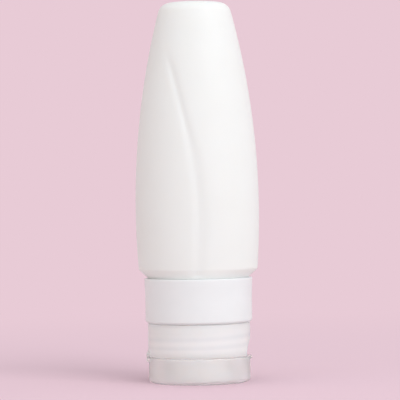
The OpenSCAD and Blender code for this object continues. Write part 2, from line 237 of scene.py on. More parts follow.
silicone = siliconeMaterial()
whitePolypropylene = ringMaterial()
frostedPolypropylene = frostedMaterial("naturalPolypropyleneFrosted", {
    "pale": "#FBF9FA", "shade": "#F7F4F6", "roughness": 0.36, "clear": 0.25, "milk": 1,
    "milkDepth": 2.2 * mm, "lampThrough": 0.65, "cloud": 8 * mm, "grain": 0.3 * mm, "relief": 0.2,
    # the darker colour below is painted shade where the neck's thread lies behind the skirt
    "paintedShade": {"colour": "#F0EFF1", "wide": 0.46, "narrow": 0.02, "fade": 1 * mm}})
clearPolypropylene = frostedMaterial("clarifiedPolypropyleneMoulded", {
    "pale": "#FFFEFD", "shade": "#FDFBFA", "roughness": 0.14, "clear": 0.68, "milk": 1,
    "milkDepth": 0.6 * mm, "lampThrough": 1, "cloud": 12 * mm, "grain": 0.8 * mm, "relief": 0.08})
valveSilicone = frostedMaterial("translucentSiliconeMoulded", {
    "pale": "#F3F1EF", "shade": "#E9E6E3", "roughness": 0.35, "clear": 0.25, "milk": 1,
    "milkDepth": 1 * mm, "lampThrough": 0, "cloud": 6 * mm, "grain": 0.3 * mm, "relief": 0.2})
gasketRubber = frostedMaterial("softPolyethyleneFoamCut", {
    "pale": "#EFEDEB", "shade": "#E0DDDA", "roughness": 0.7, "clear": 0, "milk": 0.3,
    "milkDepth": 0.5 * mm, "lampThrough": 0, "cloud": 3 * mm, "grain": 0.25 * mm, "relief": 0.6})
print("materials ready")


def softCorners(outline, closed=True, cuts=4):  # outline: radius, height, corner size, in mm
    soft = []
    for i, (radius, height, size) in enumerate(outline):
        here = Vector((radius, height))
        before = Vector(outline[i - 1][:2]) - here
        after = Vector(outline[(i + 1) % len(outline)][:2]) - here
        if size == 0 or (not closed and i in (0, len(outline) - 1)):
            soft.append(here)
            continue
        start = here + before.normalized() * min(size, before.length * 0.48)
        stop = here + after.normalized() * min(size, after.length * 0.48)
        for k in range(cuts + 1):
            s = k / cuts
            soft.append(start * (1 - s) ** 2 + here * 2 * s * (1 - s) + stop * s * s)
    return soft


def newPiece(name, bm, material):
    bmesh.ops.remove_doubles(bm, verts=bm.verts, dist=0.0005 * mm)
    bmesh.ops.recalc_face_normals(bm, faces=bm.faces)
    mesh = bpy.data.meshes.new(name)
    bm.to_mesh(mesh)
    bm.free()
    mesh.materials.append(material)
    piece = bpy.data.objects.new(name, mesh)
    bpy.context.scene.collection.objects.link(piece)
    return piece


def spunPiece(name, outline, material, closed=True, steps=240):
    bm = bmesh.new()
    rings = []
    for radius, height in outline:
        if radius < 1e-6:
            rings.append([bm.verts.new((0, 0, height * mm))] * steps)
            continue
        turns = [2 * math.pi * i / steps for i in range(steps)]
        rings.append([bm.verts.new((radius * mm * math.cos(a), radius * mm * math.sin(a), height * mm))
                      for a in turns])
    for low, high in zip(rings, rings[1:] + rings[:1] if closed else rings[1:]):
        for i in range(steps):
            j = (i + 1) % steps
            corners = list(dict.fromkeys([low[i], low[j], high[j], high[i]]))
            if len(corners) > 2:
                bm.faces.new(corners)
    return newPiece(name, bm, material)


def loftedPiece(name, sections, material):  # closed skin through sections of equal length
    bm = bmesh.new()
    rows = [[bm.verts.new(Vector(p) * mm) for p in section] for section in sections]
    for low, high in zip(rows, rows[1:]):
        for i in range(len(low)):
            j = (i + 1) % len(low)
            bm.faces.new([low[i], low[j], high[j], high[i]])
    bm.faces.new(rows[0])
    bm.faces.new(rows[-1][::-1])
    return newPiece(name, bm, material)


def made(piece):  # the piece's modifiers become its mesh
    graph = bpy.context.evaluated_depsgraph_get()
    mesh = bpy.data.meshes.new_from_object(piece.evaluated_get(graph), depsgraph=graph)
    piece.modifiers.clear()
    piece.data = mesh
    return piece


def combine(piece, tool, operation):
    step = piece.modifiers.new(operation.lower(), "BOOLEAN")
    step.operation = operation
    step.solver = "EXACT"
    step.object = tool
    made(piece)
    bpy.data.objects.remove(tool)


def shadeByAngle(piece, degrees=32):
    piece.data.shade_smooth()
    piece.data.set_sharp_from_angle(angle=math.radians(degrees))


# Heights of the joints between the pieces, in mm above the face that it stands on
heights = {"capFoot": 10.6, "deckTop": 12.2, "rim": 13.4, "capTop": 24.0, "ringFoot": 24.2,
           "flangeTop": 26.2, "beadTop": 28.2, "lowBarb": 32.2, "lowBarbEnd": 35.2,
           "highBarb": 37.45, "stemTop": 41.2, "ringTop": 42.1}


def stemOutline(radius, soft):  # the stem's two barbs, from below, for the silicone and the neck
    barb = radius + 0.5
    return [(radius, heights["lowBarb"], 0), (barb, heights["lowBarb"], soft),
            (radius, heights["lowBarbEnd"], 0), (radius, heights["highBarb"], 0),
            (barb, heights["highBarb"], soft)]


# Body tree: a round sleeve of rows becomes the oval bottle with its long crease on both faces
def bodyTree():
    tree = bpy.data.node_groups.new("squeezedOvalBody", "GeometryNodeTree")
    tree.interface.new_socket("Geometry", in_out="INPUT", socket_type="NodeSocketGeometry")
    for name in ("Widest Width", "Widest Depth", "Tail Width", "Tail Depth", "Widest Height",
                 "Tail Height", "Crease Depth", "Crease Half Width", "Crease Soft Side",
                 "Crease Open", "Crease Wide", "Crease Narrow", "Crease Radius",
                 "Crease Bulge", "Crease Height", "Crease Back Height", "Crease Back Radius",
                 "Crease Foot", "Crease Foot Fade", "Crease End", "Crease End Fade"):
        tree.interface.new_socket(name, in_out="INPUT", socket_type="NodeSocketFloat")
    tree.interface.new_socket("Material", in_out="INPUT", socket_type="NodeSocketMaterial")
    tree.interface.new_socket("Geometry", in_out="OUTPUT", socket_type="NodeSocketGeometry")
    given = addNode(tree, "NodeGroupInput")
    terms = {s.name: given.outputs[s.name] for s in tree.interface.items_tree
             if s.in_out == "INPUT" and s.name not in ("Geometry", "Material")}
    for name in ("turn", "reach", "round", "skin"):
        terms[name] = addNode(tree, "GeometryNodeInputNamedAttribute", {"data_type": "FLOAT"},
                              {"Name": name}).outputs["Attribute"]
    place = addNode(tree, "ShaderNodeSeparateXYZ", {}, {
        0: addNode(tree, "GeometryNodeInputPosition").outputs[0]})
    terms["z"] = place.outputs["Z"]
    for name, low, fade in (("grows", "Crease Foot", "Crease Foot Fade"),
                            ("narrows", "Crease Wide", "Crease Narrow"),
                            ("ends", "Crease End", "Crease End Fade")):
        terms[name] = addNode(tree, "ShaderNodeMapRange", {"interpolation_type": "SMOOTHSTEP"}, {
            "Value": terms["z"], "From Min": terms[low], "From Max": terms[fade]}).outputs["Result"]
    sums = [
        ("rise", "SUBTRACT", "Tail Height", "Widest Height"),
        ("riseSquare", "MULTIPLY", "rise", "rise"),
        ("sideZ", "MINIMUM", "z", "Tail Height"),
        ("above", "SUBTRACT", "sideZ", "Widest Height"),
        ("aboveSquare", "MULTIPLY", "above", "above"),
    ]
    for side, widest, tail in (("X", "Widest Width", "Tail Width"), ("Y", "Widest Depth", "Tail Depth")):
        sums += [
            ("full" + side, "SUBTRACT", widest, tail),
            ("drop" + side, "MULTIPLY", "full" + side, 0.5),
            ("dropSquare" + side, "MULTIPLY", "drop" + side, "drop" + side),
            ("chord" + side, "ADD", "riseSquare", "dropSquare" + side),
            ("arc" + side, "DIVIDE", "chord" + side, "full" + side),
            ("arcSquare" + side, "MULTIPLY", "arc" + side, "arc" + side),
            ("under" + side, "SUBTRACT", "arcSquare" + side, "aboveSquare"),
            ("root" + side, "SQRT", "under" + side),
            ("halfWidest" + side, "MULTIPLY", widest, 0.5),
            ("base" + side, "SUBTRACT", "halfWidest" + side, "arc" + side),
            ("half" + side, "ADD", "base" + side, "root" + side),
            ("out" + side, "MULTIPLY_ADD", "half" + side, "reach", "round"),
        ]
    sums += [
        ("cosine", "COSINE", "turn"),
        ("sine", "SINE", "turn"),
        ("ovalX", "MULTIPLY", "outX", "cosine"),
        ("ovalY", "MULTIPLY", "outY", "sine"),
        ("alongCrease", "SUBTRACT", "z", "Crease Height"),
        ("alongSquare", "MULTIPLY", "alongCrease", "alongCrease"),
        ("creaseSquare", "MULTIPLY", "Crease Radius", "Crease Radius"),
        ("creaseUnder", "SUBTRACT", "creaseSquare", "alongSquare"),
        ("creaseRoot", "SQRT", "creaseUnder"),
        ("creaseBase", "SUBTRACT", "Crease Bulge", "Crease Radius"),
        ("creaseArc", "ADD", "creaseBase", "creaseRoot"),
        ("past", "SUBTRACT", "z", "Crease Back Height"),
        ("pastOnly", "MAXIMUM", "past", 0),
        ("pastSquare", "MULTIPLY", "pastOnly", "pastOnly"),
        ("backWidth", "MULTIPLY", "Crease Back Radius", 2),
        ("back", "DIVIDE", "pastSquare", "backWidth"),
        ("creaseMiddle", "ADD", "creaseArc", "back"),
        ("face", "SIGN", "sine"),
        ("mirrored", "MULTIPLY", "ovalX", "face"),       # the back carries the crease turned about Z
        ("toCrease", "ADD", "mirrored", "creaseMiddle"),
        ("opening", "SUBTRACT", 1, "narrows"),
        ("openMore", "SUBTRACT", "Crease Open", 1),
        ("open", "MULTIPLY_ADD", "openMore", "opening", 1),
        ("crispWidth", "MULTIPLY", "Crease Half Width", "open"),
        ("onSoftSide", "LESS_THAN", "toCrease", 0),
        ("softMore", "SUBTRACT", "Crease Soft Side", 1),
        ("softer", "MULTIPLY_ADD", "softMore", "onSoftSide", 1),
        ("width", "MULTIPLY", "crispWidth", "softer"),
        ("widths", "DIVIDE", "toCrease", "width"),
        ("widthsSquare", "MULTIPLY", "widths", "widths"),
        ("below", "MULTIPLY", "widthsSquare", -1),
        ("bell", "EXPONENT", "below"),
        ("stays", "SUBTRACT", 1, "ends"),
        ("length", "MULTIPLY", "grows", "stays"),
        ("frontness", "ABSOLUTE", "sine"),
        ("shape", "MULTIPLY", "bell", "length"),
        ("facing", "MULTIPLY", "shape", "frontness"),
        ("outside", "MULTIPLY", "facing", "skin"),
        ("dip", "MULTIPLY", "outside", "Crease Depth"),
        ("inward", "MULTIPLY", "dip", -1),
        ("x", "MULTIPLY_ADD", "inward", "cosine", "ovalX"),
        ("y", "MULTIPLY_ADD", "inward", "sine", "ovalY"),
    ]
    for name, operation, *values in sums:
        terms[name] = addNode(tree, "ShaderNodeMath", {"operation": operation}, {
            i: terms[v] if isinstance(v, str) else v for i, v in enumerate(values)}).outputs[0]
    point = addNode(tree, "ShaderNodeCombineXYZ", {}, {"X": terms["x"], "Y": terms["y"], "Z": terms["z"]})
    moved = addNode(tree, "GeometryNodeSetPosition", {}, {
        "Geometry": given.outputs["Geometry"], "Position": point.outputs[0]})
    welded = addNode(tree, "GeometryNodeMergeByDistance", {}, {
        "Geometry": moved.outputs[0], "Distance": 0.001 * mm})
    smooth = addNode(tree, "GeometryNodeSetShadeSmooth", {}, {"Geometry": welded.outputs[0]})
    real = addNode(tree, "GeometryNodeRealizeInstances", {}, {"Geometry": smooth.outputs[0]})
    finished = addNode(tree, "GeometryNodeSetMaterial", {}, {
        "Geometry": real.outputs[0], "Material": given.outputs["Material"]})
    addNode(tree, "NodeGroupOutput", {}, {"Geometry": finished.outputs[0]})
    return tree


def setInputs(modifier, values):  # by the socket's identifier, found from its name
    for item in modifier.node_group.interface.items_tree:
        if item.in_out == "INPUT" and item.name in values:
            modifier[item.identifier] = values[item.name]


def makeBottle():
    body = {
        "widestWidth": 50, "widestDepth": 45, "tailWidth": 27.5, "tailDepth": 23.4,
        "foot": heights["ringTop"], "widestHeight": 69.9, "shoulderHeight": 3.6,
        "edgeTop": 153.4, "tailRadius": 3.6, "wall": 2.2,
        "shoulderRadius": 20.4, "sleeveOuter": 17.9, "beadOuter": 18.6, "stemRadius": 15.1,
        "creaseDepth": 0.5, "creaseHalfWidth": 1.2, "creaseSoftSide": 1.5, "creaseOpen": 1.6,
        "creaseWide": 88.1, "creaseNarrow": 106.1, "creaseRadius": 155, "creaseBulge": 1.1,
        "creaseHeight": 63.1, "creaseBackHeight": 100.1, "creaseBackRadius": 135,
        "creaseEnd": 123.1, "creaseGone": 135.1,
        "around": 264, "crowding": 14,
    }
    shoulderTop = body["foot"] + body["shoulderHeight"]
    bend = math.radians(83)                     # the rounded edge turns this far before the crown
    sideTop = body["edgeTop"] - body["tailRadius"]
    edgeCut = body["tailRadius"] * (1 - math.cos(bend))
    crownFoot = sideTop + body["tailRadius"] * math.sin(bend)
    crown = (body["tailWidth"] / 2 - edgeCut) / math.tan(bend) / 2
    rows = []                                   # height, share of the oval's half width, round part, outside
    for k in range(15):
        t = 1 - k / 14
        rows.append((crownFoot + crown * t * (2 - t), 1 - t, -(1 - t) * edgeCut, 1))
    for k in range(1, 13):
        turn = bend * (1 - k / 12)
        rows.append((sideTop + body["tailRadius"] * math.sin(turn), 1,
                     -body["tailRadius"] * (1 - math.cos(turn)), 1))
    for k in range(1, 161):
        rows.append((sideTop + (shoulderTop - sideTop) * k / 160, 1, 0, 1))
    for k in range(1, 15):
        t = 1 - k / 14
        share = 1 - (1 - t) ** 1.15
        rows.append((body["foot"] + 0.25 + (body["shoulderHeight"] - 0.25) * t, share,
                     body["shoulderRadius"] * (1 - share), 1))
    low, stem = body["foot"], body["stemRadius"]
    sleeve = softCorners([
        (body["shoulderRadius"], low + 0.25, 0), (body["shoulderRadius"] - 0.05, low, 0.2),
        (body["sleeveOuter"], low, 0.3), (body["sleeveOuter"], heights["beadTop"], 0.2),
        (body["beadOuter"], heights["beadTop"], 0.2), (body["beadOuter"], heights["flangeTop"], 0.2),
        (stem, heights["flangeTop"], 0.2), *stemOutline(stem, 0), (stem - 0.4, heights["stemTop"], 0),
        (stem - 0.4, low + body["wall"] - 0.4, 0.3), (stem + 1, low + body["wall"], 0)], closed=False)
    rows += [(height, 0, radius, 0) for radius, height in sleeve[1:]]
    innerTop = body["edgeTop"] - body["wall"]
    innerRadius = body["tailRadius"] + 1
    innerSide = innerTop - innerRadius
    innerFoot = shoulderTop + body["wall"]
    for k in range(31):
        rows.append((innerFoot + (innerSide - innerFoot) * k / 30, 1, -body["wall"], 0))
    for k in range(1, 7):
        turn = math.radians(90) * k / 6
        rows.append((innerSide + innerRadius * math.sin(turn), 1,
                     -body["wall"] - innerRadius * (1 - math.cos(turn)), 0))
    rows.append((innerTop, 0, 0, 0))
    around = body["around"]
    turns = []
    for i in range(around):
        a = 2 * math.pi * i / around
        turns.append(a + math.radians(body["crowding"]) * math.sin(2 * a))
    points = [(math.cos(a), math.sin(a), height * mm) for height, *_ in rows for a in turns]
    faces = []
    for k in range(len(rows) - 1):
        for i in range(around):
            j = (i + 1) % around
            faces.append((k * around + i, (k + 1) * around + i, (k + 1) * around + j, k * around + j))
    mesh = bpy.data.meshes.new("bottleBody")
    mesh.from_pydata(points, [], faces)
    for name, values in (("turn", [a for row in rows for a in turns]),
                         ("reach", [row[1] for row in rows for a in turns]),
                         ("round", [row[2] * mm for row in rows for a in turns]),
                         ("skin", [float(row[3]) for row in rows for a in turns])):
        mesh.attributes.new(name, "FLOAT", "POINT").data.foreach_set("value", values)
    piece = bpy.data.objects.new("bottleBody", mesh)
    bpy.context.scene.collection.objects.link(piece)
    step = piece.modifiers.new("squeezedOval", "NODES")
    step.node_group = bodyTree()
    setInputs(step, {
        "Widest Width": body["widestWidth"] * mm, "Widest Depth": body["widestDepth"] * mm,
        "Tail Width": body["tailWidth"] * mm, "Tail Depth": body["tailDepth"] * mm,
        "Widest Height": body["widestHeight"] * mm, "Tail Height": body["edgeTop"] * mm,
        "Crease Depth": body["creaseDepth"] * mm, "Crease Half Width": body["creaseHalfWidth"] * mm,
        "Crease Soft Side": body["creaseSoftSide"], "Crease Open": body["creaseOpen"],
        "Crease Wide": body["creaseWide"] * mm, "Crease Narrow": body["creaseNarrow"] * mm,
        "Crease Radius": body["creaseRadius"] * mm, "Crease Bulge": body["creaseBulge"] * mm,
        "Crease Height": body["creaseHeight"] * mm, "Crease Foot": body["foot"] * mm,
        "Crease Back Height": body["creaseBackHeight"] * mm,
        "Crease Back Radius": body["creaseBackRadius"] * mm,
        "Crease Foot Fade": (body["foot"] + body["shoulderHeight"] / 2) * mm,
        "Crease End": body["creaseEnd"] * mm, "Crease End Fade": body["creaseGone"] * mm,
        "Material": silicone})
    made(piece)
    for name in ("turn", "reach", "round", "skin"):
        piece.data.attributes.remove(piece.data.attributes[name])
    piece.data.set_sharp_from_angle(angle=math.radians(40))
    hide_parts("bottle")
    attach(piece, "bottle")
    return piece


bottleBody = makeBottle()
print("bottle body:", len(bottleBody.data.polygons), "faces")


def makeRing():
    ring = {"foot": heights["ringFoot"], "top": heights["ringTop"], "low": 21.6, "high": 21.9,
            "bore": 17.9, "beadBore": 18.7, "bevel": 0.7}
    rise = ring["top"] - ring["foot"]
    outline = [(ring["beadBore"], ring["foot"], 0.15), (ring["low"] - ring["bevel"], ring["foot"], 0.35),
               (ring["low"], ring["foot"] + ring["bevel"], 0.45)]
    for share, flare in ((0.5, 0), (0.65, 0.12), (0.8, 0.42), (0.92, 0.85)):
        outline.append((ring["low"] + (ring["high"] - ring["low"]) * flare, ring["foot"] + rise * share, 0))
    outline += [(ring["high"], ring["top"], 0.45), (ring["bore"], ring["top"], 0.2),
                (ring["bore"], heights["beadTop"], 0.2), (ring["beadBore"], heights["beadTop"], 0.2)]
    piece = spunPiece("clampRing", softCorners(outline), whitePolypropylene)
    shadeByAngle(piece)
    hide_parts("collar_ring")
    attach(piece, "bottle")


makeRing()
print("ring done")


# Thread tree: a helix whose section swells at the start and fades at the end
def threadTree():
    tree = bpy.data.node_groups.new("screwThread", "GeometryNodeTree")
    tree.interface.new_socket("Geometry", in_out="INPUT", socket_type="NodeSocketGeometry")
    for name in ("Radius", "Depth", "Sink", "Base Width", "Tip Width", "Pitch", "Turns",
                 "Start Turn", "Start Height", "Taper"):
        tree.interface.new_socket(name, in_out="INPUT", socket_type="NodeSocketFloat")
    tree.interface.new_socket("Material", in_out="INPUT", socket_type="NodeSocketMaterial")
    tree.interface.new_socket("Geometry", in_out="OUTPUT", socket_type="NodeSocketGeometry")
    given = addNode(tree, "NodeGroupInput")
    terms = {s.name: given.outputs[s.name] for s in tree.interface.items_tree
             if s.in_out == "INPUT" and s.name not in ("Geometry", "Material")}
    for name in ("along", "outward", "across"):
        terms[name] = addNode(tree, "GeometryNodeInputNamedAttribute", {"data_type": "FLOAT"},
                              {"Name": name}).outputs["Attribute"]
    sums = [
        ("fromEnd", "SUBTRACT", 1, "along"),
        ("nearEnd", "MINIMUM", "along", "fromEnd"),
        ("nearTurns", "MULTIPLY", "nearEnd", "Turns"),
        ("ratio", "DIVIDE", "nearTurns", "Taper"),
        ("raised", "ADD", "ratio", 0.05),
        ("grow", "MINIMUM", "raised", 1),
        ("tip", "MULTIPLY", "Depth", "grow"),
        ("reach", "ADD", "tip", "Sink"),
        ("offset", "MULTIPLY", "reach", "outward"),
        ("start", "SUBTRACT", "Radius", "Sink"),
        ("radius", "ADD", "start", "offset"),
        ("narrow", "SUBTRACT", "Tip Width", "Base Width"),
        ("width", "MULTIPLY_ADD", "narrow", "outward", "Base Width"),
        ("shift", "MULTIPLY", "width", "across"),
        ("turned", "MULTIPLY", "along", "Turns"),
        ("climb", "MULTIPLY_ADD", "turned", "Pitch", "Start Height"),
        ("z", "ADD", "climb", "shift"),
        ("allTurns", "ADD", "turned", "Start Turn"),
        ("angle", "MULTIPLY", "allTurns", 2 * math.pi),
        ("cosine", "COSINE", "angle"),
        ("sine", "SINE", "angle"),
        ("x", "MULTIPLY", "radius", "cosine"),
        ("y", "MULTIPLY", "radius", "sine"),
    ]
    for name, operation, *values in sums:
        terms[name] = addNode(tree, "ShaderNodeMath", {"operation": operation}, {
            i: terms[v] if isinstance(v, str) else v for i, v in enumerate(values)}).outputs[0]
    point = addNode(tree, "ShaderNodeCombineXYZ", {}, {"X": terms["x"], "Y": terms["y"], "Z": terms["z"]})
    moved = addNode(tree, "GeometryNodeSetPosition", {}, {
        "Geometry": given.outputs["Geometry"], "Position": point.outputs[0]})
    real = addNode(tree, "GeometryNodeRealizeInstances", {}, {"Geometry": moved.outputs[0]})
    finished = addNode(tree, "GeometryNodeSetMaterial", {}, {
        "Geometry": real.outputs[0], "Material": given.outputs["Material"]})
    addNode(tree, "NodeGroupOutput", {}, {"Geometry": finished.outputs[0]})
    return tree


screwThread = threadTree()
threadSection = [(0, -0.5), (0.85, -0.5), (1, -0.36), (1, 0.36), (0.85, 0.5), (0, 0.5)]  # outward, across


def threadPiece(name, radius, startHeight, side, material):  # side is 1 on the neck, -1 in the cap
    steps = 150
    count = len(threadSection)
    mesh = bpy.data.meshes.new(name)
    faces = [(k * count + i, k * count + (i + 1) % count, (k + 1) * count + (i + 1) % count,
              (k + 1) * count + i) for k in range(steps) for i in range(count)]
    faces += [tuple(range(count))[::-1], tuple(steps * count + i for i in range(count))]
    mesh.from_pydata([(0, k, i) for k in range(steps + 1) for i in range(count)], [], faces)
    for label, values in (("along", [k / steps for k in range(steps + 1) for s in threadSection]),
                          ("outward", [s[0] for k in range(steps + 1) for s in threadSection]),
                          ("across", [s[1] for k in range(steps + 1) for s in threadSection])):
        mesh.attributes.new(label, "FLOAT", "POINT").data.foreach_set("value", values)
    piece = bpy.data.objects.new(name, mesh)
    bpy.context.scene.collection.objects.link(piece)
    step = piece.modifiers.new("screwThread", "NODES")
    step.node_group = screwThread
    setInputs(step, {
        "Radius": radius * mm, "Depth": side * threadSizes["depth"] * mm,
        "Sink": side * threadSizes["sink"] * mm, "Base Width": threadSizes["rootWidth"] * mm,
        "Tip Width": threadSizes["crestWidth"] * mm, "Pitch": threadSizes["pitch"] * mm,
        "Turns": threadSizes["turns"], "Start Turn": threadSizes["start"] / 360,
        "Start Height": startHeight * mm, "Taper": threadSizes["taper"], "Material": material})
    made(piece)
    for label in ("along", "outward", "across"):
        piece.data.attributes.remove(piece.data.attributes[label])
    bm = bmesh.new()
    bm.from_mesh(piece.data)
    bmesh.ops.recalc_face_normals(bm, faces=bm.faces)
    bm.to_mesh(piece.data)
    bm.free()
    return piece


def makeNeck():
    neck = {"bore": 14.85, "root": 16.65, "flange": 18.6, "stem": 15.1, "stemBore": 13.5}
    stem, low, top = neck["stem"], heights["flangeTop"], heights["stemTop"]
    piece = spunPiece("threadedNeck", softCorners([
        (neck["bore"], heights["rim"], 0.3), (neck["root"], heights["rim"], 0.5),
        (neck["root"], heights["ringFoot"], 0.1), (neck["flange"], heights["ringFoot"], 0.25),
        (neck["flange"], low, 0.25), (stem, low, 0.15), *stemOutline(stem, 0.1), (stem - 0.4, top, 0.3),
        (neck["stemBore"], top, 0.3), (neck["stemBore"], low, 0), (neck["bore"], heights["ringFoot"], 0)]),
        whitePolypropylene)
    combine(piece, threadPiece("neckThread", neck["root"], threadSizes["neckHeight"], 1,
                               whitePolypropylene), "UNION")
    shadeByAngle(piece)
    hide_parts("neck_insert")
    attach(piece, "bottle")


makeNeck()
print("neck done")


def hingePad(name, low, high, inner, outer, width, material):  # bar under the film, rounded at its ends
    half, soft = width / 2, 0.5
    section = [(-inner, low), (-outer + soft, low), (-outer + soft * 0.3, low + soft * 0.3),
               (-outer, low + soft), (-outer, high - soft), (-outer + soft * 0.3, high - soft * 0.3),
               (-outer + soft, high), (-inner, high)]
    sections = []
    for side, shrink in ((-half, 0.3), (-half + 0.1, 0.1), (-half + 0.4, 0), (half - 0.4, 0),
                         (half - 0.1, 0.1), (half, 0.3)):
        middle = (low + high) / 2
        sections.append([(x + shrink * (x < -inner - 0.1), side, middle + (z - middle) * (1 - shrink / 2))
                         for x, z in section])
    return loftedPiece(name, sections, material)


def makeCap():
    cap = {"foot": heights["capFoot"], "top": heights["capTop"], "outer": 20.7, "bore": 18.4,
           "rimOuter": 19.2, "housingFoot": 2.8, "housingEnd": 10.8, "housingRoot": 11.5,
           "housingBore": 9.6, "outlet": 6.5, "seat": 4.4,
           "thumbDepth": 1.6, "thumbHeight": 6.9, "padWidth": 10, "padOut": 21.0}
    foot, outer = cap["foot"], cap["outer"]
    piece = spunPiece("screwCap", softCorners([
        (cap["outlet"], cap["housingFoot"], 0.3), (cap["housingEnd"], cap["housingFoot"], 0.6),
        (cap["housingRoot"], foot, 0.3), (cap["rimOuter"] - 1.4, foot, 0.2),
        (cap["rimOuter"] - 1.4, foot - 1.3, 0.3), (cap["rimOuter"], foot - 1.3, 0.4),
        (cap["rimOuter"], foot, 0.1), (outer, foot, 0.35), (outer, cap["top"], 0.45),
        (cap["bore"], cap["top"], 0.4), (cap["bore"], heights["deckTop"], 1.1),
        (cap["housingBore"], heights["deckTop"], 0.3), (cap["housingBore"], cap["seat"], 0.1),
        (cap["outlet"], cap["seat"], 0.15)]), frostedPolypropylene)
    pad = hingePad("capPad", foot + 0.25, foot + 2.25, outer - 0.9, cap["padOut"], cap["padWidth"],
                   frostedPolypropylene)
    combine(piece, pad, "UNION")
    thumbRadius = (cap["thumbHeight"] ** 2 + cap["thumbDepth"] ** 2) / (2 * cap["thumbDepth"])
    bm = bmesh.new()
    bmesh.ops.create_cone(bm, cap_ends=True, segments=360, radius1=thumbRadius * mm,
                          radius2=thumbRadius * mm, depth=50 * mm)
    bmesh.ops.rotate(bm, verts=bm.verts, matrix=Matrix.Rotation(math.radians(90), 3, "X"))
    bmesh.ops.translate(bm, verts=bm.verts,
                        vec=Vector((outer + thumbRadius - cap["thumbDepth"], 0, foot)) * mm)
    combine(piece, newPiece("thumbCutter", bm, frostedPolypropylene), "DIFFERENCE")
    combine(piece, threadPiece("capThread", cap["bore"], threadSizes["capHeight"], -1,
                               frostedPolypropylene), "UNION")
    shadeByAngle(piece)
    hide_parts("screw_cap")
    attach(piece, "cap")


makeCap()
print("screw cap done")


def makeLid():
    lid = {"height": 10.4, "outer": 20.6, "wall": 1.3, "floor": 1.4, "edge": 1.6,
           "plugOuter": 13.0, "plugInner": 11.9, "plugTop": 9.4, "boss": 4.5, "bossTop": 3.2,
           "lipOut": 0.9, "lipWidth": 13, "ribThickness": 0.8, "ribReach": 3, "padWidth": 10}
    outer, bore, top = lid["outer"], lid["outer"] - lid["wall"], lid["height"]
    outline = [(0, 0, 0), (outer - lid["edge"] - 2, 0, 0), (outer - lid["edge"], 0, 0)]
    for k in range(1, 12):
        turn = math.radians(90) * k / 12
        outline.append((outer - lid["edge"] * (1 - math.sin(turn)), lid["edge"] * (1 - math.cos(turn)), 0))
    outline += [(outer, lid["edge"], 0), (outer, top, 0.3), (bore, top, 0.25), (bore, lid["floor"], 0.5),
                (lid["plugOuter"], lid["floor"], 0.4), (lid["plugOuter"], lid["plugTop"], 0.35),
                (lid["plugInner"], lid["plugTop"], 0.6), (lid["plugInner"], lid["floor"], 0.4),
                (lid["boss"], lid["floor"], 0.4), (lid["boss"], lid["bossTop"], 0.5), (0, lid["bossTop"], 0)]
    piece = spunPiece("flipLid", softCorners(outline, closed=False), clearPolypropylene, closed=False)
    combine(piece, hingePad("lidPad", top - 2.15, top - 0.15, outer - 0.9, 21.0, lid["padWidth"],
                            clearPolypropylene), "UNION")
    spread = math.asin(lid["lipWidth"] / 2 / outer)
    sections = []
    for k in range(41):
        share = k / 20 - 1
        out = outer + lid["lipOut"] * (1 - abs(share) ** 3) - 0.02
        inner = outer - 0.6
        turn = spread * share
        sections.append([(r * math.cos(turn), r * math.sin(turn), z) for r, z in (
            (inner, top - 1.5), (outer - 0.02, top - 1.4), (out - 0.12, top - 1.0), (out, top - 0.75),
            (out, top - 0.25), (out - 0.15, top - 0.03), (inner, top - 0.03))])
    combine(piece, loftedPiece("thumbLip", sections, clearPolypropylene), "UNION")
    for side in (-1, 1):
        middle = side * lid["padWidth"] / 2
        wallX = -math.sqrt((bore + 0.4) ** 2 - (abs(middle) + 0.8) ** 2)
        rib = [[(wallX + reach, middle + half * lid["ribThickness"] / 2, z) for reach, z in (
            (0, lid["floor"] - 0.4), (lid["ribReach"], lid["floor"] - 0.4),
            (lid["ribReach"] * 0.93, lid["floor"] + 0.3), (0.25, top - 2.3), (0, top - 2))]
            for half in (-1, 1)]
        combine(piece, loftedPiece("lidRib", rib, clearPolypropylene), "UNION")
    shadeByAngle(piece)
    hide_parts("flip_lid")
    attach(piece, "lid")


makeLid()
print("flip lid done")


def makeFilm():
    film = {"inner": 21.0, "outer": 21.3, "width": 10, "low": 8.8, "high": 12.2, "endCorner": 0.25,
            "endRound": 0.6, "waist": 0.06, "waistReach": 0.35}
    middle = (film["low"] + film["high"]) / 2
    sections = []
    for k in range(69):
        z = film["low"] + (film["high"] - film["low"]) * k / 68
        waist = film["waist"] * math.exp(-((z - middle) / film["waistReach"]) ** 2)
        half = film["width"] / 2 - film["endCorner"] * (abs(z - middle) / (film["high"] - middle)) ** 6
        fromEnd = min(1, min(z - film["low"], film["high"] - z) / film["endRound"])
        outer = film["inner"] + (film["outer"] - film["inner"]) * math.sqrt(1 - 0.95 * (1 - fromEnd) ** 2)
        sections.append([(-film["inner"] - waist * 0.3, -half, z), (-film["inner"] - waist * 0.3, half, z),
                         (-outer + waist, half, z), (-outer + waist, -half, z)])
    piece = loftedPiece("hingeFilm", sections, frostedPolypropylene)
    shadeByAngle(piece, 40)
    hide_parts("hinge_film")
    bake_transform(piece)


makeFilm()
print("hinge film done")


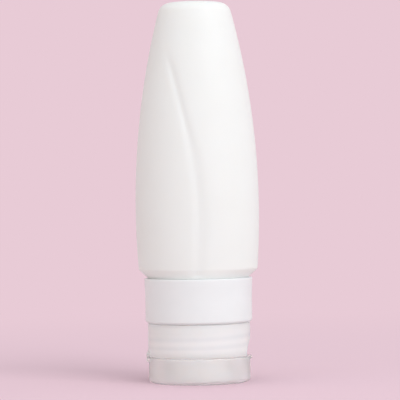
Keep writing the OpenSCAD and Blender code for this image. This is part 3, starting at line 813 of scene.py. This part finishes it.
def makeValve():
    valve = {"flange": 9.5, "flangeFoot": 4.4, "flangeTop": 5.7, "cup": 6.2, "skin": 3.3,
             "thick": 0.8, "sag": 0.35, "slit": 6, "slitGap": 0.12}
    skin, cup = valve["skin"], valve["cup"]
    outline = [(0, skin + valve["sag"], 0)]
    for k in range(1, 8):                       # the thin centre is dished toward the hollow
        r = (cup - 1.4) * k / 7
        outline.append((r, skin + valve["sag"] * (1 - (r / (cup - 1.4)) ** 2), 0))
    outline += [(cup - 0.7, skin, 0.3), (cup, skin + 0.8, 0.4), (cup, valve["flangeFoot"], 0.2),
                (valve["flange"], valve["flangeFoot"], 0.2), (valve["flange"], valve["flangeTop"], 0.2),
                (cup - 0.8, valve["flangeTop"], 0.4), (cup - 1.3, skin + valve["thick"] + 0.6, 0.4),
                (cup - 1.9, skin + valve["thick"] + 0.05, 0.3)]
    for k in range(5, -1, -1):
        r = (cup - 2.4) * k / 6
        outline.append((r, skin + valve["thick"] + valve["sag"] * (1 - (r / (cup - 1.4)) ** 2), 0))
    piece = spunPiece("slitValve", softCorners(outline, closed=False), valveSilicone, closed=False)
    long, short = valve["slit"] / 2, valve["slitGap"] / 2
    for x, y in ((long, short), (short, long)):
        cut = [[(-x, -y, z), (x, -y, z), (x, y, z), (-x, y, z)] for z in (skin - 1, skin + 3)]
        combine(piece, loftedPiece("slit", cut, valveSilicone), "DIFFERENCE")
    shadeByAngle(piece)
    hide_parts("valve")
    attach(piece, "cap")


def makeSeals():
    gasket = {"bore": 14.25, "outer": 16.95, "foot": heights["deckTop"], "top": heights["rim"]}
    piece = spunPiece("neckGasket", softCorners([
        (gasket["bore"], gasket["foot"], 0.2), (gasket["outer"], gasket["foot"], 0.2),
        (gasket["outer"], gasket["top"], 0.2), (gasket["bore"], gasket["top"], 0.2)]), gasketRubber)
    shadeByAngle(piece)
    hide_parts("gasket")
    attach(piece, "seal")
    holder = {"bore": 6.9, "outer": 9.6, "foot": 5.7, "top": 7.9}
    piece = spunPiece("valveHolder", softCorners([
        (holder["bore"], holder["foot"], 0.25), (holder["outer"], holder["foot"], 0.1),
        (holder["outer"], holder["top"], 0.4), (holder["bore"], holder["top"], 0.3)]), whitePolypropylene)
    shadeByAngle(piece)
    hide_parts("valve_retainer")
    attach(piece, "cap")


makeValve()
makeSeals()
print("valve, holder and gasket done")


def seenByEye(tree):  # 1 for what the camera sees, also in gloss and through clear plastic
    ray = addNode(tree, "ShaderNodeLightPath")
    seen = addNode(tree, "ShaderNodeMath", {"operation": "MAXIMUM"}, {
        0: ray.outputs["Is Camera Ray"], 1: ray.outputs["Is Glossy Ray"]})
    seen = addNode(tree, "ShaderNodeMath", {"operation": "MAXIMUM"}, {
        0: seen.outputs[0], 1: ray.outputs["Is Transmission Ray"]})
    direct = addNode(tree, "ShaderNodeMath", {"operation": "LESS_THAN"}, {
        0: ray.outputs["Diffuse Depth"], 1: 0.5})
    return addNode(tree, "ShaderNodeMath", {"operation": "MULTIPLY"}, {
        0: seen.outputs[0], 1: direct.outputs[0]}).outputs[0]


def makeFloor():
    floor = {"radius": 4.0, "near": 0.1, "far": 0.5, "paper": "#E8CBD6", "paperLit": "#EFD0DC",
             "bounce": "#EAD9DB", "front": "#F8FDFE", "behind": "#D6D6D7", "side": "#F6DFD0",
             "roomLight": 0.88}
    material, tree = newMaterial("palePaperFloor")
    place = addNode(tree, "ShaderNodeTexCoord").outputs["Object"]
    away = addNode(tree, "ShaderNodeVectorMath", {"operation": "LENGTH"}, {0: place})
    fade = addNode(tree, "ShaderNodeMapRange", {"interpolation_type": "SMOOTHSTEP"}, {
        "Value": away.outputs["Value"], "From Min": floor["near"], "From Max": floor["far"]})
    seen = seenByEye(tree)
    share = addNode(tree, "ShaderNodeMath", {"operation": "MULTIPLY"}, {0: fade.outputs["Result"], 1: seen})
    tone = addNode(tree, "ShaderNodeMix", {"data_type": "RGBA"}, {
        0: seen, 6: linear(floor["bounce"]), 7: linear(floor["paperLit"])})
    paper = addNode(tree, "ShaderNodeBsdfDiffuse", {}, {"Color": tone.outputs[2]})
    glow = addNode(tree, "ShaderNodeEmission", {}, {"Color": linear(floor["paper"]), "Strength": 1})
    mixed = addNode(tree, "ShaderNodeMixShader", {}, {
        0: share.outputs[0], 1: paper.outputs[0], 2: glow.outputs[0]})
    addNode(tree, "ShaderNodeOutputMaterial", {}, {"Surface": mixed.outputs[0]})
    bm = bmesh.new()
    bmesh.ops.create_circle(bm, cap_ends=True, segments=128, radius=floor["radius"])
    newPiece("paperFloor", bm, material)
    world = bpy.data.worlds.new("paleRoom")
    bpy.context.scene.world = world
    world.use_nodes = True
    tree = world.node_tree
    tree.nodes.clear()
    way = addNode(tree, "ShaderNodeSeparateXYZ", {}, {
        0: addNode(tree, "ShaderNodeTexCoord").outputs["Generated"]})
    behind = addNode(tree, "ShaderNodeMapRange", {"interpolation_type": "SMOOTHSTEP"}, {
        "Value": way.outputs["Y"], "From Min": -0.4, "From Max": 0.7})
    colour = addNode(tree, "ShaderNodeMix", {"data_type": "RGBA"}, {
        0: behind.outputs["Result"], 6: linear(floor["front"]), 7: linear(floor["behind"])})
    left = addNode(tree, "ShaderNodeMapRange", {"interpolation_type": "SMOOTHSTEP"}, {
        "Value": way.outputs["X"], "From Min": -0.65, "From Max": -1})
    warmed = addNode(tree, "ShaderNodeMix", {"data_type": "RGBA"}, {
        0: left.outputs["Result"], 6: colour.outputs[2], 7: linear(floor["side"])})
    shown = addNode(tree, "ShaderNodeBackground", {}, {"Color": linear(floor["paper"]), "Strength": 1})
    light = addNode(tree, "ShaderNodeBackground", {}, {
        "Color": warmed.outputs[2], "Strength": floor["roomLight"]})
    room = addNode(tree, "ShaderNodeMixShader", {}, {
        0: seenByEye(tree), 1: light.outputs[0], 2: shown.outputs[0]})
    addNode(tree, "ShaderNodeOutputWorld", {}, {"Surface": room.outputs[0]})


def makeLamp():
    lamp = {"turn": 38, "distance": 2.4, "height": 1.75, "width": 1.7, "tall": 2.0, "watts": 31}
    data = bpy.data.lights.new("windowLight", "AREA")
    data.shape = "RECTANGLE"
    data.size, data.size_y = lamp["width"], lamp["tall"]
    data.energy = lamp["watts"]
    data.color = linear("#FCFEFD")[:3]
    light = bpy.data.objects.new("windowLight", data)
    turn = math.radians(lamp["turn"])
    light.location = (lamp["distance"] * math.sin(turn), -lamp["distance"] * math.cos(turn), lamp["height"])
    light.rotation_euler = (Vector((0, 0, 0.08)) - light.location).to_track_quat("-Z", "Y").to_euler()
    bpy.context.scene.collection.objects.link(light)


def makeCamera():
    view = {"distance": 0.8, "lens": 177.6, "x": 1.15 * mm, "z": 73.5 * mm, "roll": 0.85}
    data = bpy.data.cameras.new("photoCamera")
    data.lens = view["lens"]
    data.sensor_width = 36
    camera = bpy.data.objects.new("photoCamera", data)
    roll = math.radians(view["roll"])
    camera.location = (view["x"], -view["distance"], view["z"])
    camera.rotation_euler = (math.radians(90), roll, 0)
    bpy.context.scene.collection.objects.link(camera)
    bpy.context.scene.camera = camera


makeFloor()
makeLamp()
makeCamera()
bpy.context.scene.view_settings.view_transform = "Standard"
print("floor, light and camera ready")

bpy.context.view_layer.update()
